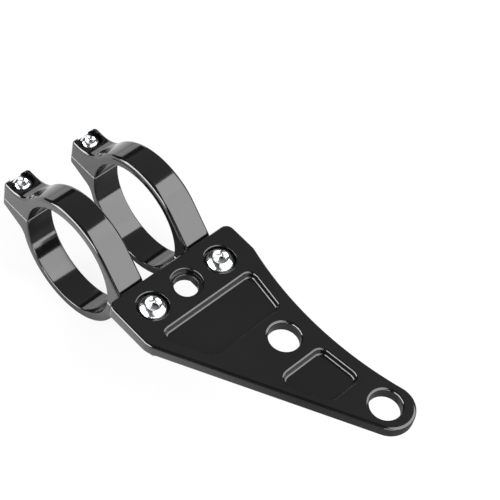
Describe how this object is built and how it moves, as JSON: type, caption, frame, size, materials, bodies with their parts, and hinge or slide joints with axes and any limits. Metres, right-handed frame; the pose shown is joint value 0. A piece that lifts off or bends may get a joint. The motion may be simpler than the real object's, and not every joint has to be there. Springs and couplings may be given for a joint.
{
  "type": "headlight mounting bracket",
  "caption": "Headlight mounting bracket for a motorbike fork leg: a flat black side plate screwed to two split clamps.",
  "frame": {"origin": "centre of the lower clamp's bore, halfway along it", "axes": "+Y along the fork tube from the lower clamp to the upper clamp; +X forward, along the side plate to the headlight bolt; +Z square off the side plate's outer face"},
  "size_m": [0.1542, 0.0549, 0.0482],
  "materials": {
    "bracket": "gloss black",
    "screw": "bright"
  },
  "bodies": {
    "root": {"side_plate": "bracket", "lower_clamp_base": "bracket", "lower_clamp_cap": "bracket", "upper_clamp_base": "bracket", "upper_clamp_cap": "bracket", "lower_plate_screw": "screw", "upper_plate_screw": "screw", "lower_pinch_screw": "screw", "upper_pinch_screw": "screw"}
  },
  "joints": []
}
